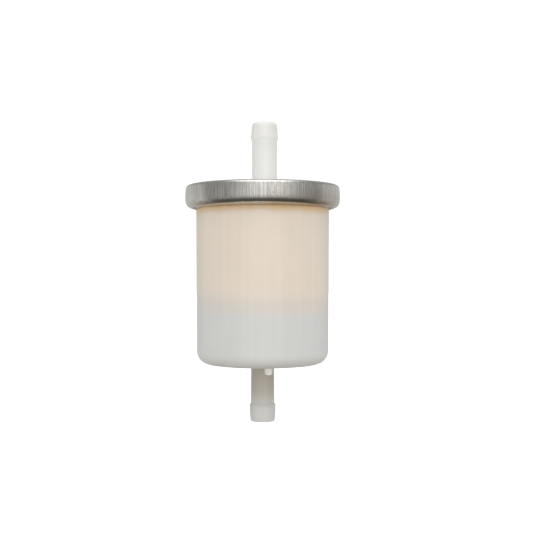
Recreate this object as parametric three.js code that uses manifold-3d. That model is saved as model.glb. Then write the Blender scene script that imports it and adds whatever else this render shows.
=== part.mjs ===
// In-line fuel filter for a small engine. A moulded cup with the inlet nipple and a moulded lid with the
// outlet nipple are clamped rim to rim by a crimped steel ring, round a pleated paper element.
// Millimetres, +Z up along the flow axis. The origin is on the axis, half way between the nipple ends.
import * as THREE from "three";
import { mergeVertices } from "three/addons/utils/BufferGeometryUtils.js";
import Module from "manifold-3d";

// Driving dimensions.
const HALF_LENGTH = 51.15; // from the origin to either nipple's end
const FACETS = 48; // flats round every turned piece
const GAP = 0.1; // between pieces that rest on each other

// Steel ring: wall, top lip and a skirt that is rolled in under the cup's rim.
const RING = { radius: 26.5, top: 29.4, sheet: 0.5, lipRadius: 22.1, topCorner: 1.3 };
const SKIRT = { radius: 23.1, bottom: 21.2, slope: Math.PI / 6, corner: 2 };

// Rims inside the ring, from the top down.
const RIM = { radius: RING.radius - RING.sheet - 0.3, lidTop: RING.top - RING.sheet - GAP, lidBottom: 26.9 };
const GASKET = { inner: 21.5, outer: RIM.radius - 0.2, thickness: 1.5 };

// Cup.
const CUP = { topRadius: 22.78, baseRadius: 22.5, floor: -31.5, corner: 4.4, wall: 1.5, base: 1.8 };
const CUP_RIM_TOP = RIM.lidBottom - GASKET.thickness - 2 * GAP;
const PLATE_SEAT = { radius: 23.05, depth: 0.65 }; // step in the cup's mouth that the element hangs from
const GATE_STUB = { x: 2, y: -9.5, radius: 1.45, tipRadius: 1.25, length: 3 };

// Nipples. Radii of bore, stem and barb, with heights as distances in from the nipple's end.
const INLET = { bore: 2.9, root: 3.93, stem: 4.08, barb: 4.45, barbEnd: 4.15, shoulder: 5.8, round: 0.5 };
const OUTLET = { bore: 3, stem: 4.27, barb: 4.66, barbEnd: 4.3, shoulder: 6.5, ridge: 4.8, round: 0.8 };
const ROOT_FILLET = 1.2;

// Lid.
const LID = { discRadius: 21.7, discTop: 29.4, hubRadius: 7, hubTop: 31, recessInner: 9.5, recessOuter: 19.5 };
const SPIGOT = { radius: 4.6, bottom: 20.6 };

// Element.
const PLATE = { radius: PLATE_SEAT.radius - 0.25, thickness: 0.55, neckInner: 5.6, neckOuter: 6.1, neckBottom: 22.4 };
const SEAL = { inner: SPIGOT.radius + GAP, outer: PLATE.neckInner - GAP, flange: 8, bottom: 22.6 };
const POTTING = { outer: 20.6, topInner: 6.4, bottom: 20.4 };
const END_CAP = { radius: 20.2, bottom: -12, sheet: 0.6, rim: 1.9, pottingDepth: 1.2 };
const PAPER = { pleats: 40, outer: 20.1, inner: 9.2, thickness: 0.36, fold: 0.38, foldSteps: 2 };
const SEAM_STRIP = { pleat: 14, depth: 2.5, width: 2.1, thickness: 0.3 }; // pleat counted from +X
const PLEAT_PITCH = (2 * Math.PI) / PAPER.pleats;
const CORE = { outer: 7.7, inner: 7.1, rows: 5, columns: 6, windowWidth: 4.4, windowHeight: 4 };

const wasm = await Module();
wasm.setup();

// A closed mesh's geometry as a manifold-3d solid.
function solidOf(geometry) {
  const bare = geometry.clone();
  bare.deleteAttribute("normal");
  bare.deleteAttribute("uv");
  const merged = mergeVertices(bare, 1e-3);
  const vertProperties = merged.attributes.position.array;
  const triVerts = new Uint32Array(merged.index.array);
  return new wasm.Manifold(new wasm.Mesh({ numProp: 3, vertProperties, triVerts }));
}

// A manifold-3d solid as geometry.
function geometryOf(solid) {
  const mesh = solid.getMesh();
  const geometry = new THREE.BufferGeometry();
  geometry.setAttribute("position", new THREE.BufferAttribute(new Float32Array(mesh.vertProperties), 3));
  geometry.setIndex(new THREE.BufferAttribute(new Uint32Array(mesh.triVerts), 1));
  geometry.computeVertexNormals();
  return geometry;
}

// A closed outline of [radius, height] points, listed with the outside going up, turned round the Z axis.
function turned(outline) {
  const points = [...outline, outline[0]].map(([radius, height]) => new THREE.Vector2(radius, height));
  return new THREE.LatheGeometry(points, FACETS).rotateX(Math.PI / 2);
}

// Points on an arc in the outline's plane, from one angle to another, both ends included.
function arc(centreRadius, centreHeight, radius, from, to, steps = 3) {
  return Array.from({ length: steps + 1 }, (_, i) => {
    const angle = from + ((to - from) * i) / steps;
    return [centreRadius + radius * Math.cos(angle), centreHeight + radius * Math.sin(angle)];
  });
}

// A rectangle in the outline's plane.
function band(inner, outer, bottom, top) {
  return [
    [outer, bottom],
    [outer, top],
    [inner, top],
    [inner, bottom],
  ];
}

function piece(name, geometry, material) {
  const mesh = new THREE.Mesh(geometry, material);
  mesh.name = name;
  return mesh;
}

const milkyNylon = new THREE.MeshStandardMaterial({
  color: 0xe4e2dc,
  roughness: 0.42,
  metalness: 0,
  transparent: true,
  opacity: 0.75,
});
const tinnedSteel = new THREE.MeshStandardMaterial({ color: 0xb4b4ae, roughness: 0.34, metalness: 1 });
const nitrileRubber = new THREE.MeshStandardMaterial({ color: 0x1d1c1c, roughness: 0.8, metalness: 0 });
const filterPaper = new THREE.MeshStandardMaterial({ color: 0xdcbf8e, roughness: 0.95, metalness: 0 });
const seamTape = new THREE.MeshStandardMaterial({ color: 0xb98672, roughness: 0.8, metalness: 0 });
const amberAdhesive = new THREE.MeshStandardMaterial({ color: 0xc98b3c, roughness: 0.35, metalness: 0 });
const fibreBoard = new THREE.MeshStandardMaterial({ color: 0xcdb084, roughness: 0.9, metalness: 0 });
const whiteNylon = new THREE.MeshStandardMaterial({ color: 0xdedbd2, roughness: 0.5, metalness: 0 });

// Steel ring. The skirt hangs from a rounded corner and slopes in towards the cup's wall.
function crimpRing() {
  const { radius, top, sheet, lipRadius, topCorner } = RING;
  const { slope, corner } = SKIRT;
  const skirtEnd = slope - Math.PI / 2;
  const run = radius - corner + corner * Math.cos(skirtEnd) - SKIRT.radius;
  const cornerHeight = SKIRT.bottom + run * Math.tan(slope) - corner * Math.sin(skirtEnd);
  return turned([
    [SKIRT.radius, SKIRT.bottom],
    ...arc(radius - corner, cornerHeight, corner, skirtEnd, 0),
    ...arc(radius - topCorner, top - topCorner, topCorner, 0, Math.PI / 2),
    [lipRadius, top],
    [lipRadius, top - sheet],
    ...arc(radius - topCorner, top - topCorner, topCorner - sheet, Math.PI / 2, 0),
    ...arc(radius - corner, cornerHeight, corner - sheet, 0, skirtEnd),
    [SKIRT.radius - sheet * Math.sin(slope), SKIRT.bottom + sheet * Math.cos(slope)],
  ]);
}

// The inlet nipple's outside, from its end up to the cup's floor.
function inletOutline() {
  const end = -HALF_LENGTH;
  const { root, stem, barb, barbEnd, shoulder, round } = INLET;
  return [
    ...arc(barbEnd - round, end + round, round, -Math.PI / 2, 0, 3),
    [barb - 0.07, end + 2.6],
    [barb, end + shoulder - 0.4],
    [barb - 0.08, end + shoulder],
    [stem, end + shoulder],
    [root, CUP.floor - ROOT_FILLET],
    ...arc(root + ROOT_FILLET, CUP.floor - ROOT_FILLET, ROOT_FILLET, Math.PI, Math.PI / 2, 2).slice(1),
  ];
}

// Cup, open at the top, with its rim, its inlet nipple and the stub that the moulding gate leaves.
function cup() {
  const { topRadius, baseRadius, floor, corner, wall, base } = CUP;
  const skirtRise = Math.tan(SKIRT.slope);
  const rimRoot = SKIRT.bottom + RING.sheet / Math.cos(SKIRT.slope) + 0.3;
  const rimUnderside = rimRoot + (RIM.radius - topRadius) * skirtRise;
  const innerCorner = corner - wall;
  const body = solidOf(
    turned([
      [INLET.bore, -HALF_LENGTH],
      ...inletOutline(),
      ...arc(baseRadius - corner, floor + corner, corner, -Math.PI / 2, 0, 5),
      [topRadius, rimRoot],
      [RIM.radius, rimUnderside],
      [RIM.radius, CUP_RIM_TOP],
      [PLATE_SEAT.radius, CUP_RIM_TOP],
      [PLATE_SEAT.radius, CUP_RIM_TOP - PLATE_SEAT.depth],
      [topRadius - wall, CUP_RIM_TOP - PLATE_SEAT.depth],
      ...arc(baseRadius - corner, floor + base + innerCorner, innerCorner, 0, -Math.PI / 2, 3),
      [INLET.bore, floor + base],
    ]),
  );
  const { x, y, radius, tipRadius, length } = GATE_STUB;
  const sunk = base / 2;
  const stub = new THREE.CylinderGeometry(radius, tipRadius, length + sunk, 12).rotateX(Math.PI / 2);
  stub.translate(x, y, floor + sunk - (length + sunk) / 2);
  return geometryOf(body.add(solidOf(stub)));
}

// The outlet nipple's outside, from the lid's hub up to its end.
function outletOutline() {
  const { stem, barb, barbEnd, shoulder, ridge, round } = OUTLET;
  return [
    ...arc(stem + ROOT_FILLET, LID.hubTop + ROOT_FILLET, ROOT_FILLET, -Math.PI / 2, -Math.PI, 2),
    [stem, HALF_LENGTH - shoulder],
    [barb - 0.1, HALF_LENGTH - ridge - 0.5],
    [barb, HALF_LENGTH - ridge],
    [barb - 0.14, HALF_LENGTH - ridge + 0.7],
    ...arc(barbEnd - round, HALF_LENGTH - round, round, 0, Math.PI / 2, 3),
  ];
}

// Lid: a rim, a raised disc inside the ring's lip, a hub that stops the hose, and a spigot below.
function lid() {
  const { discRadius, discTop, hubRadius, hubTop, recessInner, recessOuter } = LID;
  const recessTop = RIM.lidBottom + 0.9;
  return turned([
    [OUTLET.bore, SPIGOT.bottom],
    [SPIGOT.radius - 0.4, SPIGOT.bottom],
    [SPIGOT.radius, SPIGOT.bottom + 0.6],
    [SPIGOT.radius, RIM.lidBottom],
    [recessInner, RIM.lidBottom],
    [recessInner, recessTop],
    [recessOuter, recessTop],
    [recessOuter, RIM.lidBottom],
    [RIM.radius, RIM.lidBottom],
    [RIM.radius, RIM.lidTop - 1],
    [RIM.radius - 1, RIM.lidTop],
    [discRadius, RIM.lidTop],
    [discRadius, discTop - 0.3],
    [discRadius - 0.3, discTop],
    [hubRadius + 0.8, discTop],
    [hubRadius, hubTop - 0.3],
    [hubRadius - 0.3, hubTop],
    ...outletOutline(),
    [OUTLET.bore, HALF_LENGTH],
  ]);
}

function rimGasket() {
  const bottom = CUP_RIM_TOP + GAP;
  return turned(band(GASKET.inner, GASKET.outer, bottom, bottom + GASKET.thickness));
}

// Top plate of the element: a disc that hangs in the cup's mouth, with a neck turned down round its hole.
function elementPlate() {
  const { radius, thickness, neckInner, neckOuter, neckBottom } = PLATE;
  const bottom = CUP_RIM_TOP - PLATE_SEAT.depth + GAP / 2;
  return turned([
    [neckOuter, neckBottom],
    [neckOuter, bottom],
    [radius, bottom],
    [radius, bottom + thickness],
    [neckInner, bottom + thickness],
    [neckInner, neckBottom],
  ]);
}

// Grommet that seals the lid's spigot in the plate's neck.
function outletSeal() {
  const plateTop = CUP_RIM_TOP - PLATE_SEAT.depth + GAP / 2 + PLATE.thickness;
  return turned([
    [SEAL.outer, SEAL.bottom],
    [SEAL.outer, plateTop + GAP],
    [SEAL.flange, plateTop + GAP],
    [SEAL.flange, RIM.lidBottom - GAP],
    [SEAL.inner, RIM.lidBottom - GAP],
    [SEAL.inner, SEAL.bottom],
  ]);
}

const plateBottom = CUP_RIM_TOP - PLATE_SEAT.depth + GAP / 2;
const floorPottingTop = END_CAP.bottom + END_CAP.sheet + GAP + END_CAP.pottingDepth;
const paperBottom = floorPottingTop + GAP;
const paperTop = POTTING.bottom - GAP;

function topPotting() {
  return turned(band(POTTING.topInner, POTTING.outer, POTTING.bottom, plateBottom - GAP));
}

function bottomPotting() {
  const bottom = END_CAP.bottom + END_CAP.sheet + GAP;
  const outer = END_CAP.radius - END_CAP.sheet - GAP;
  return new THREE.CylinderGeometry(outer, outer, END_CAP.pottingDepth, FACETS)
    .rotateX(Math.PI / 2)
    .translate(0, 0, bottom + END_CAP.pottingDepth / 2);
}

// Closed dish under the element.
function endCap() {
  const { radius, bottom, sheet, rim } = END_CAP;
  return turned([
    [0, bottom],
    [radius - sheet, bottom],
    [radius, bottom + sheet],
    [radius, bottom + rim],
    [radius - sheet, bottom + rim],
    [radius - sheet, bottom + sheet],
    [0, bottom + sheet],
  ]);
}

// One face of the pleated sheet, offset from its middle, as a closed loop of points.
function pleatLoop(offset) {
  const { pleats, outer, inner, thickness, fold, foldSteps } = PAPER;
  const loop = [];
  const addFold = (centreRadius, angle, radius, outwards) => {
    for (let i = 0; i <= foldSteps; i++) {
      const swing = (i / foldSteps - 0.5) * Math.PI;
      const turn = outwards ? angle + swing : angle + Math.PI - swing;
      const x = centreRadius * Math.cos(angle) + radius * Math.cos(turn);
      const y = centreRadius * Math.sin(angle) + radius * Math.sin(turn);
      loop.push(new THREE.Vector2(x, y));
    }
  };
  for (let k = 0; k < pleats; k++) {
    addFold(outer - fold - thickness / 2, k * PLEAT_PITCH, fold + offset, true);
    addFold(inner + fold + thickness / 2, (k + 0.5) * PLEAT_PITCH, fold - offset, false);
  }
  return loop;
}

function filterPaperPack() {
  const shape = new THREE.Shape(pleatLoop(PAPER.thickness / 2));
  shape.holes.push(new THREE.Path(pleatLoop(-PAPER.thickness / 2)));
  const depth = paperTop - paperBottom;
  return new THREE.ExtrudeGeometry(shape, { depth, bevelEnabled: false }).translate(0, 0, paperBottom);
}

// Channel of tape that joins the sheet's two ends, over the tip of one pleat.
function seamStrip() {
  const { depth, width, thickness, pleat } = SEAM_STRIP;
  const tip = PAPER.outer + GAP + thickness;
  const half = width / 2;
  const shape = new THREE.Shape([
    new THREE.Vector2(tip - depth, -half),
    new THREE.Vector2(tip, -half),
    new THREE.Vector2(tip, half),
    new THREE.Vector2(tip - depth, half),
    new THREE.Vector2(tip - depth, half - thickness),
    new THREE.Vector2(tip - thickness, half - thickness),
    new THREE.Vector2(tip - thickness, -half + thickness),
    new THREE.Vector2(tip - depth, -half + thickness),
  ]);
  const strip = new THREE.ExtrudeGeometry(shape, { depth: paperTop - paperBottom - 1, bevelEnabled: false });
  return strip.translate(0, 0, paperBottom + 0.5).rotateZ(pleat * PLEAT_PITCH);
}

// Moulded cage that keeps the pleats open, with rows of windows for the fuel.
function coreTube() {
  const { outer, inner, rows, columns, windowWidth, windowHeight } = CORE;
  const height = paperTop - paperBottom;
  let tube = solidOf(turned(band(inner, outer, paperBottom, paperTop)));
  const rise = height / rows;
  for (let row = 0; row < rows; row++) {
    for (let column = 0; column < columns / 2; column++) {
      const cutter = new THREE.BoxGeometry(2 * outer + 2, windowWidth, windowHeight);
      cutter.rotateZ((column * 2 * Math.PI) / columns);
      cutter.translate(0, 0, paperBottom + (row + 0.5) * rise);
      tube = tube.subtract(solidOf(cutter));
    }
  }
  return geometryOf(tube);
}

const filter = new THREE.Group();
filter.add(
  piece("cup", cup(), milkyNylon),
  piece("lid", lid(), milkyNylon),
  piece("crimp_ring", crimpRing(), tinnedSteel),
  piece("rim_gasket", rimGasket(), nitrileRubber),
);

const element = new THREE.Group();
element.add(
  piece("element_plate", elementPlate(), fibreBoard),
  piece("outlet_seal", outletSeal(), nitrileRubber),
  piece("top_potting", topPotting(), amberAdhesive),
  piece("filter_paper", filterPaperPack(), filterPaper),
  piece("seam_strip", seamStrip(), seamTape),
  piece("core_tube", coreTube(), whiteNylon),
  piece("bottom_potting", bottomPotting(), amberAdhesive),
  piece("end_cap", endCap(), fibreBoard),
);
filter.add(element);

export default filter;
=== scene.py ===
"""Finished look of an in-line fuel filter: smooth mouldings, rolled steel ring, pleated element.

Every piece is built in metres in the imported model's own frame: +Z runs up the flow axis and the origin is
half way between the ends of the two hose nipples.
"""

import logging
import math
from dataclasses import dataclass, field
from enum import Enum
from typing import Callable, ClassVar, Sequence, Union

import bmesh
import bpy
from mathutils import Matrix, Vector


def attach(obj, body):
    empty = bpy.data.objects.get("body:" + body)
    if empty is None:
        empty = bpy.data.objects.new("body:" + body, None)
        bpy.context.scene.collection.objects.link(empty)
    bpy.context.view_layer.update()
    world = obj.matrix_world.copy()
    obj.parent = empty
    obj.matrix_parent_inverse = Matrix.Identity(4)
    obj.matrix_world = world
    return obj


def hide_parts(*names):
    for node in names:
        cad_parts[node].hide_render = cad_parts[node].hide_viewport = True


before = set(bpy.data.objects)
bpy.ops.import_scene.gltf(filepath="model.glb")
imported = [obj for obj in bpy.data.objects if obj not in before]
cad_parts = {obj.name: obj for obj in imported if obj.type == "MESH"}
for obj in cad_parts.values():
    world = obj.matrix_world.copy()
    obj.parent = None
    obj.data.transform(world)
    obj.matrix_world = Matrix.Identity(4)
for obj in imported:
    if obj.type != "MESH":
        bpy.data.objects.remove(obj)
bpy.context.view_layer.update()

MM = 0.001
BODY = "root"
HALF_LENGTH = 51.15 * MM
TURN = 2 * math.pi
log = logging.getLogger("fuel_filter")

Point = tuple[float, float]
Span = tuple[float, float]
Place = tuple[float, float, float]
Colour = tuple[float, float, float]
Number = Union[float, "Signal"]


class Slot(Enum):
    """The record's material slots."""

    NYLON = "milky_nylon"
    STEEL = "tinned_steel"
    RUBBER = "nitrile_rubber"
    PAPER = "filter_paper"
    TAPE = "seam_tape"
    ADHESIVE = "amber_adhesive"
    BOARD = "fibre_board"
    WHITE_NYLON = "white_nylon"


# --------------------------------------------------------------------------------------------------
# Shader graphs
# --------------------------------------------------------------------------------------------------


class Signal:
    """A number that a shader works out for each point, which Python's operators act on."""

    def __init__(self, tree: bpy.types.NodeTree, socket: bpy.types.NodeSocket) -> None:
        """Wraps an output socket.

        Args:
            tree: The node tree that the socket belongs to.
            socket: The output socket.
        """
        self.tree = tree
        self.socket = socket

    def _math(self, operation: str, *terms: Number, clamp: bool = False) -> "Signal":
        """Adds one Math node.

        Args:
            operation: The Math node's operation.
            terms: The values of its sockets, in order.
            clamp: Whether the result is held between 0 and 1.

        Returns:
            The node's result.
        """
        node = self.tree.nodes.new("ShaderNodeMath")
        node.operation = operation
        node.use_clamp = clamp
        for place, term in zip(node.inputs, terms):
            if isinstance(term, Signal):
                self.tree.links.new(term.socket, place)
            else:
                place.default_value = term
        return Signal(self.tree, node.outputs[0])

    def __add__(self, other: Number) -> "Signal":
        """Sum."""
        return self._math("ADD", self, other)

    __radd__ = __add__

    def __sub__(self, other: Number) -> "Signal":
        """Difference."""
        return self._math("SUBTRACT", self, other)

    def __rsub__(self, other: Number) -> "Signal":
        """Difference with the terms the other way round."""
        return self._math("SUBTRACT", other, self)

    def __mul__(self, other: Number) -> "Signal":
        """Product."""
        return self._math("MULTIPLY", self, other)

    __rmul__ = __mul__

    def __abs__(self) -> "Signal":
        """Size without sign."""
        return self._math("ABSOLUTE", self)

    def clamp(self) -> "Signal":
        """The value held between 0 and 1."""
        return self._math("ADD", self, 0.0, clamp=True)

    def sine(self) -> "Signal":
        """Sine of the value in radians."""
        return self._math("SINE", self)

    def angle_from(self, x: "Signal") -> "Signal":
        """Angle in radians of the direction (x, this value)."""
        return self._math("ARCTAN2", self, x)

    def fade(self, low: float, high: float, start: float = 0.0, end: float = 1.0) -> "Signal":
        """Eases from one value to another as this one passes over a range.

        Args:
            low: Where the range begins; it may be more than high.
            high: Where the range ends.
            start: The result at low.
            end: The result at high.

        Returns:
            The eased value, held between start and end.
        """
        if low > high:
            low, high, start, end = high, low, end, start
        node = self.tree.nodes.new("ShaderNodeMapRange")
        node.interpolation_type = "SMOOTHSTEP"
        self.tree.links.new(self.socket, node.inputs["Value"])
        for name, value in (("From Min", low), ("From Max", high), ("To Min", start), ("To Max", end)):
            node.inputs[name].default_value = value
        return Signal(self.tree, node.outputs["Result"])


class Graph:
    """A material's or a world's node tree under construction."""

    def __init__(self, tree: bpy.types.NodeTree) -> None:
        """Starts from an empty tree.

        Args:
            tree: The node tree to fill.
        """
        self.tree = tree
        tree.nodes.clear()

    def node(self, kind: str, settings: dict | None = None, inputs: dict | None = None) -> bpy.types.Node:
        """Adds a node.

        Args:
            kind: The node's type name.
            settings: Its properties, which are set first.
            inputs: Socket names or numbers with their values or links.

        Returns:
            The new node.
        """
        made = self.tree.nodes.new(kind)
        for name, value in (settings or {}).items():
            setattr(made, name, value)
        for key, value in (inputs or {}).items():
            socket = made.inputs[key]
            if isinstance(value, Signal):
                self.tree.links.new(value.socket, socket)
            elif isinstance(value, bpy.types.NodeSocket):
                self.tree.links.new(value, socket)
            elif isinstance(value, tuple) and len(value) == 3 and socket.type == "RGBA":
                socket.default_value = (*value, 1.0)
            else:
                socket.default_value = value
        return made

    def place(self) -> bpy.types.NodeSocket:
        """The point's own place, in metres in the model's frame."""
        return self.node("ShaderNodeTexCoord").outputs["Object"]

    def axes(self, place: bpy.types.NodeSocket) -> tuple[Signal, Signal, Signal]:
        """A vector's X, Y and Z."""
        split = self.node("ShaderNodeSeparateXYZ", inputs={0: place})
        return tuple(Signal(self.tree, out) for out in split.outputs)

    def stretched(self, place: bpy.types.NodeSocket, scale: Colour) -> bpy.types.NodeSocket:
        """The place with each of its axes scaled."""
        return self.node("ShaderNodeMapping", inputs={"Vector": place, "Scale": scale}).outputs[0]

    def noise(
        self, place: bpy.types.NodeSocket, size: float, detail: float = 2.0, rough: float = 0.5
    ) -> Signal:
        """Smooth noise.

        Args:
            place: The vector that it follows.
            size: Its largest features, in metres.
            detail: How many finer layers it has.
            rough: How strong the finer layers are.

        Returns:
            A value from about 0.3 to 0.7 round a mean of 0.5.
        """
        made = self.node(
            "ShaderNodeTexNoise",
            inputs={"Vector": place, "Scale": 1 / size, "Detail": detail, "Roughness": rough},
        )
        return Signal(self.tree, made.outputs["Factor" if "Factor" in made.outputs else "Fac"])

    def cells(self, place: bpy.types.NodeSocket, size: float) -> Signal:
        """Distance to the nearest of many scattered points, in cells."""
        made = self.node("ShaderNodeTexVoronoi", inputs={"Vector": place, "Scale": 1 / size})
        return Signal(self.tree, made.outputs["Distance"])

    def blend(
        self, share: Number, first: object, second: object, mode: str = "MIX"
    ) -> bpy.types.NodeSocket:
        """Mixes two colours.

        Args:
            share: How much of the second one there is.
            first: A colour, or a socket that gives one.
            second: The other.
            mode: The Mix node's blend mode.

        Returns:
            The mixed colour.
        """
        made = self.node(
            "ShaderNodeMix",
            settings={"data_type": "RGBA", "blend_type": mode},
            inputs={0: share, 6: first, 7: second},
        )
        return made.outputs[2]

    def shaded(self, tone: object, shade: Signal) -> bpy.types.NodeSocket:
        """A colour made lighter or darker by a factor."""
        grey = self.node("ShaderNodeCombineColor", inputs={0: shade, 1: shade, 2: shade})
        return self.blend(1.0, tone, grey.outputs[0], "MULTIPLY")

    def relief(self, height: Signal, depth: float) -> bpy.types.NodeSocket:
        """Surface relief from a height between 0 and 1 that stands for a depth in metres."""
        return self.node("ShaderNodeBump", inputs={"Height": height, "Distance": depth}).outputs[0]

    def surface(self, **sockets: object) -> None:
        """Ends the graph in one Principled surface; an underscore stands for a space in a socket's name."""
        named = {name.replace("_", " "): value for name, value in sockets.items()}
        shader = self.node("ShaderNodeBsdfPrincipled", inputs=named)
        self.node("ShaderNodeOutputMaterial", inputs={"Surface": shader.outputs[0]})


def new_material(name: str) -> tuple[bpy.types.Material, Graph]:
    """Makes a material.

    Args:
        name: Its name.

    Returns:
        The material and its empty graph.
    """
    material = bpy.data.materials.new(name)
    material.use_nodes = True
    return material, Graph(material.node_tree)


# --------------------------------------------------------------------------------------------------
# Finishes
# --------------------------------------------------------------------------------------------------


class Finish:
    """A finish of a piece, as a procedural material."""

    name: ClassVar[str]

    def material(self) -> bpy.types.Material:
        """Builds the finish.

        Returns:
            The material.
        """
        made, graph = new_material(self.name)
        self.paint(graph)
        return made

    def paint(self, graph: Graph) -> None:
        """Fills the material's graph."""
        raise NotImplementedError


@dataclass(frozen=True)
class CupNylon(Finish):
    """Milky nylon of the cup, which takes the tone of what lies close behind its wall. Painted shade
    darkens it under the ring, down the middle of the wall and over the lower nipple, and painted light
    lifts the gate stub.
    """

    name: ClassVar[str] = "cup_nylon"
    clear: Colour = (0.665, 0.68, 0.675)
    over_paper: Colour = (0.785, 0.71, 0.62)
    # Amber under the ring: partly adhesive seen through the wall, partly painted shade from the ring above.
    over_adhesive_and_shade: Colour = (0.78, 0.57, 0.33)
    over_dish: Colour = (0.69, 0.635, 0.57)
    # Painted shade: the lower nipple is greyer, and browner still towards its root.
    nipple: Colour = (0.6, 0.605, 0.595)
    root: Colour = (0.5, 0.475, 0.425)
    # Painted light: a paler tone that lifts the gate stub out of the cup's shade.
    gate_painted_light: Colour = (0.9, 0.88, 0.86)
    adhesive_and_shade_edge: Span = (19.1 * MM, 21.8 * MM)
    paper_foot: Span = (-17 * MM, -4.2 * MM)
    paper_slant: float = 0.04
    dish_top: Span = (-8 * MM, -10 * MM)
    dish_foot: Span = (-15 * MM, -12 * MM)
    floor: float = -31.5 * MM
    root_painted_shade: Span = (-HALF_LENGTH + 3.5 * MM, -HALF_LENGTH + 12 * MM)
    root_spread: Span = (29 * MM * MM, 21 * MM * MM)
    gate_side: Span = (-6 * MM, -7 * MM)
    mould_seam: float = 1.2 * MM
    pleats: int = 40

    def wall_tone(
        self, graph: Graph, place: bpy.types.NodeSocket, paper: Signal
    ) -> bpy.types.NodeSocket:
        """Works out the wall's tone from what lies behind it, with amber painted shade under the ring over
        the adhesive that shows through.

        Args:
            graph: The material's graph.
            place: The point's place.
            paper: Where the paper shows through.

        Returns:
            The tone, before its streaks.
        """
        x, _, z = graph.axes(place)
        tone = graph.blend(paper, self.clear, self.over_paper)
        dish = z.fade(*self.dish_top) * z.fade(*self.dish_foot)
        tone = graph.blend(dish * 0.3, tone, self.over_dish)
        # Amber band under the ring: partly the adhesive seen through the wall, partly painted shade from
        # the ring above; it reaches lower at the sides.
        reach_at_sides = (x * x * (1 / (13 * MM * MM))).clamp() * (0.6 * MM)
        waves = graph.noise(graph.stretched(place, (1, 1, 0.2)), 11 * MM, 1)
        adhesive_and_shade = (z + reach_at_sides + (waves - 0.5) * (1.6 * MM)).fade(*self.adhesive_and_shade_edge)
        return graph.blend(adhesive_and_shade, tone, self.over_adhesive_and_shade)

    def base_tone(
        self, graph: Graph, place: bpy.types.NodeSocket, tone: bpy.types.NodeSocket
    ) -> bpy.types.NodeSocket:
        """Works out the tone of the nipple and of the gate stub, with painted shade on the nipple and
        painted light on the stub.

        Args:
            graph: The material's graph.
            place: The point's place.
            tone: The wall's tone.

        Returns:
            The tone of the whole moulding.
        """
        x, y, z = graph.axes(place)
        # Painted shade over the lower nipple under the cup, browner towards its root.
        nipple = z.fade(self.floor + 1 * MM, self.floor) * (x * x + y * y).fade(*self.root_spread)
        # Painted light on the gate stub.
        stub = z.fade(self.floor, self.floor - 0.5 * MM) * y.fade(*self.gate_side)
        tone = graph.blend(nipple * 0.8, tone, self.nipple)
        tone = graph.blend(nipple * z.fade(*self.root_painted_shade), tone, self.root)
        return graph.blend(stub, tone, self.gate_painted_light)

    def paint(self, graph: Graph) -> None:
        """Fills the material's graph."""
        place = graph.place()
        x, y, z = graph.axes(place)
        cloud = graph.noise(place, 9 * MM, 2)
        paper = (z + x * self.paper_slant + (cloud - 0.5) * (3 * MM)).fade(*self.paper_foot)
        tone = self.base_tone(graph, place, self.wall_tone(graph, place, paper))
        streaks = graph.noise(graph.stretched(place, (1, 1, 0.03)), 2.2 * MM, 3)
        pleats = (y.angle_from(x) * float(self.pleats)).sine() * paper
        # Painted shade: the wall is darker down its middle, front and back, above the floor.
        depth = abs(x).fade(20 * MM, 8 * MM) * z.fade(self.floor, self.floor + 1 * MM)
        shade = 1.0 + (streaks - 0.5) * 0.09 + (cloud - 0.5) * 0.05 + pleats * 0.006 - depth * 0.045
        seam = abs(x - self.mould_seam).fade(0.22 * MM, 0.05 * MM)
        grain = graph.noise(place, 0.25 * MM, 2)
        waves = graph.noise(graph.stretched(place, (1, 1, 0.25)), 4 * MM, 1)
        graph.surface(
            Base_Color=graph.shaded(tone, shade),
            Roughness=0.34 + (cloud - 0.5) * 0.1,
            Normal=graph.relief(waves * 0.8 + grain * 0.12 + seam * 0.35, 0.05 * MM),
            IOR=1.53,
            Subsurface_Weight=0.6,
            Subsurface_Radius=(1.0, 0.85, 0.7),
            Subsurface_Scale=0.8 * MM,
        )


@dataclass(frozen=True)
class LidNylon(Finish):
    """The same nylon with nothing close behind it, with painted light on the barb and a painted gradient
    that is darker low down and lighter up the nipple.
    """

    name: ClassVar[str] = "lid_nylon"
    body: Colour = (0.79, 0.79, 0.77)
    barb_foot: Span = (43.8 * MM, 44.9 * MM)
    barb_top: Span = (46.8 * MM, 45.7 * MM)

    def paint(self, graph: Graph) -> None:
        """Fills the material's graph."""
        place = graph.place()
        _, _, z = graph.axes(place)
        cloud = graph.noise(place, 7 * MM, 2)
        streaks = graph.noise(graph.stretched(place, (1, 1, 0.04)), 1.6 * MM, 2)
        # Painted light on the barb, and a painted gradient: darker low down, lighter up the nipple.
        barb_painted_light = z.fade(*self.barb_foot) * z.fade(*self.barb_top)
        shade = z.fade(31 * MM, 43 * MM, 0.96, 1.02) + barb_painted_light * 0.07
        shade = shade + (cloud - 0.5) * 0.05 + (streaks - 0.5) * 0.05
        height = graph.noise(place, 0.25 * MM, 2) * 0.2 + graph.noise(place, 3 * MM, 1) * 0.8
        graph.surface(
            Base_Color=graph.shaded(self.body, shade),
            Roughness=0.38 + (cloud - 0.5) * 0.16,
            Normal=graph.relief(height, 0.05 * MM),
            IOR=1.53,
            Subsurface_Weight=0.6,
            Subsurface_Radius=(1.0, 0.9, 0.8),
            Subsurface_Scale=1.4 * MM,
        )


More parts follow.
